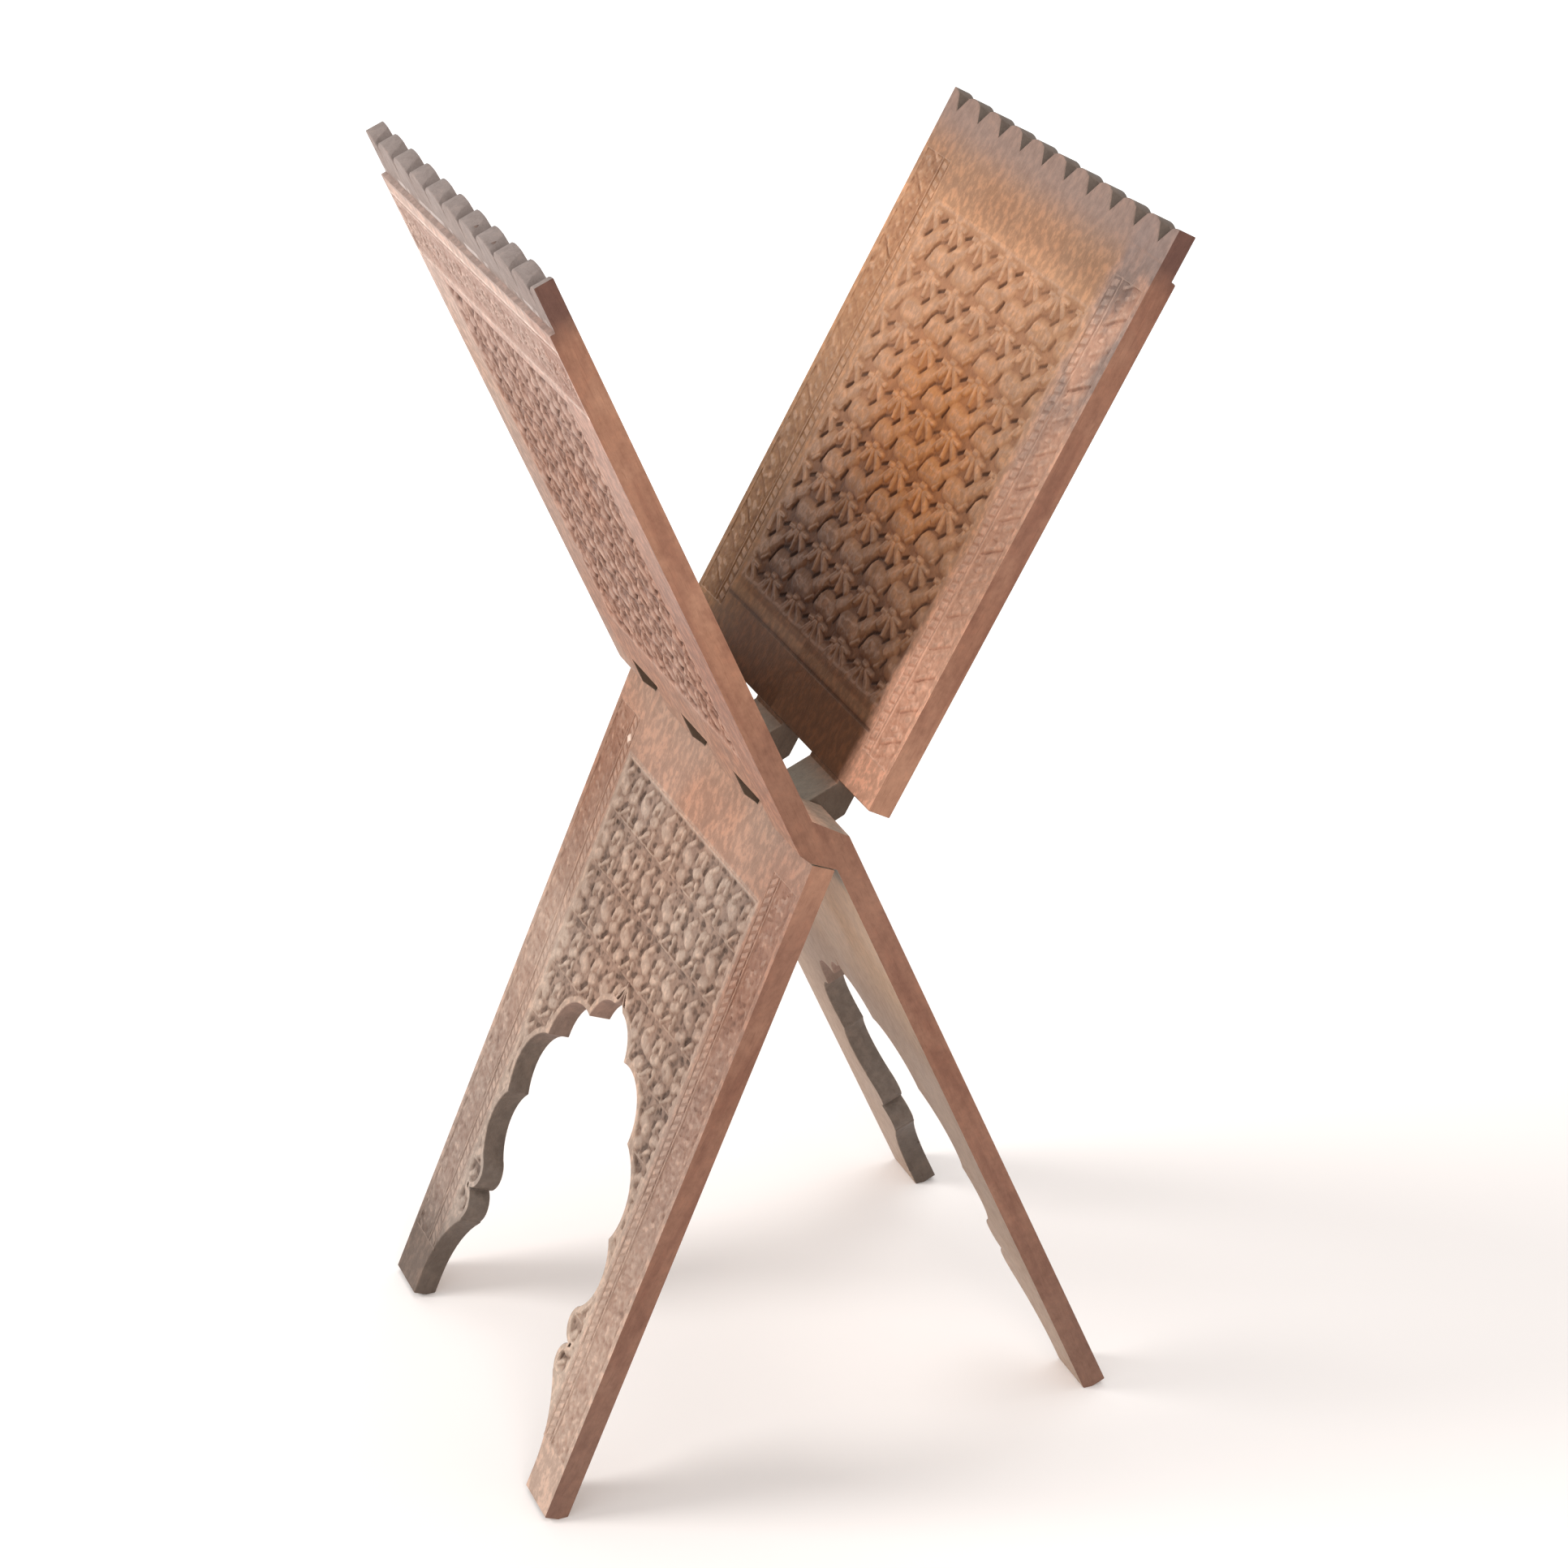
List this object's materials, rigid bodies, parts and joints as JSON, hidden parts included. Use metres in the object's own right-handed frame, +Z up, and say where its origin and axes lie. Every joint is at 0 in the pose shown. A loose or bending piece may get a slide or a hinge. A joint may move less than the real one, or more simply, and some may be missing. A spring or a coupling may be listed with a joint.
{
  "type": "folding book stand",
  "caption": "Folding X-shaped book stand of carved wood, with a knuckled wooden fold, scalloped crests and cusped arches.",
  "frame": {"origin": "on the floor, under the centre of the whole stand as it stands open", "axes": "+Z up from the floor, Y along the fold line with the reader at -Y, X across the opening from leaf to leaf"},
  "size_m": [0.2724, 0.2, 0.5325],
  "materials": {
    "worn_carved_wood": "dry hand-rubbed, worn",
    "stained_carved_wood": "dry hand-rubbed, stained"
  },
  "bodies": {
    "four_knuckle_board": {"four_knuckle_board": "worn_carved_wood"},
    "three_knuckle_board": {"three_knuckle_board": "stained_carved_wood"}
  },
  "joints": [
    {"name": "fold", "type": "hinge", "parent": "four_knuckle_board", "child": "three_knuckle_board", "pos_m": [-0.00856, 0, 0.27634], "axis": [0, -1, 0], "range_deg": [0, 46]}
  ]
}
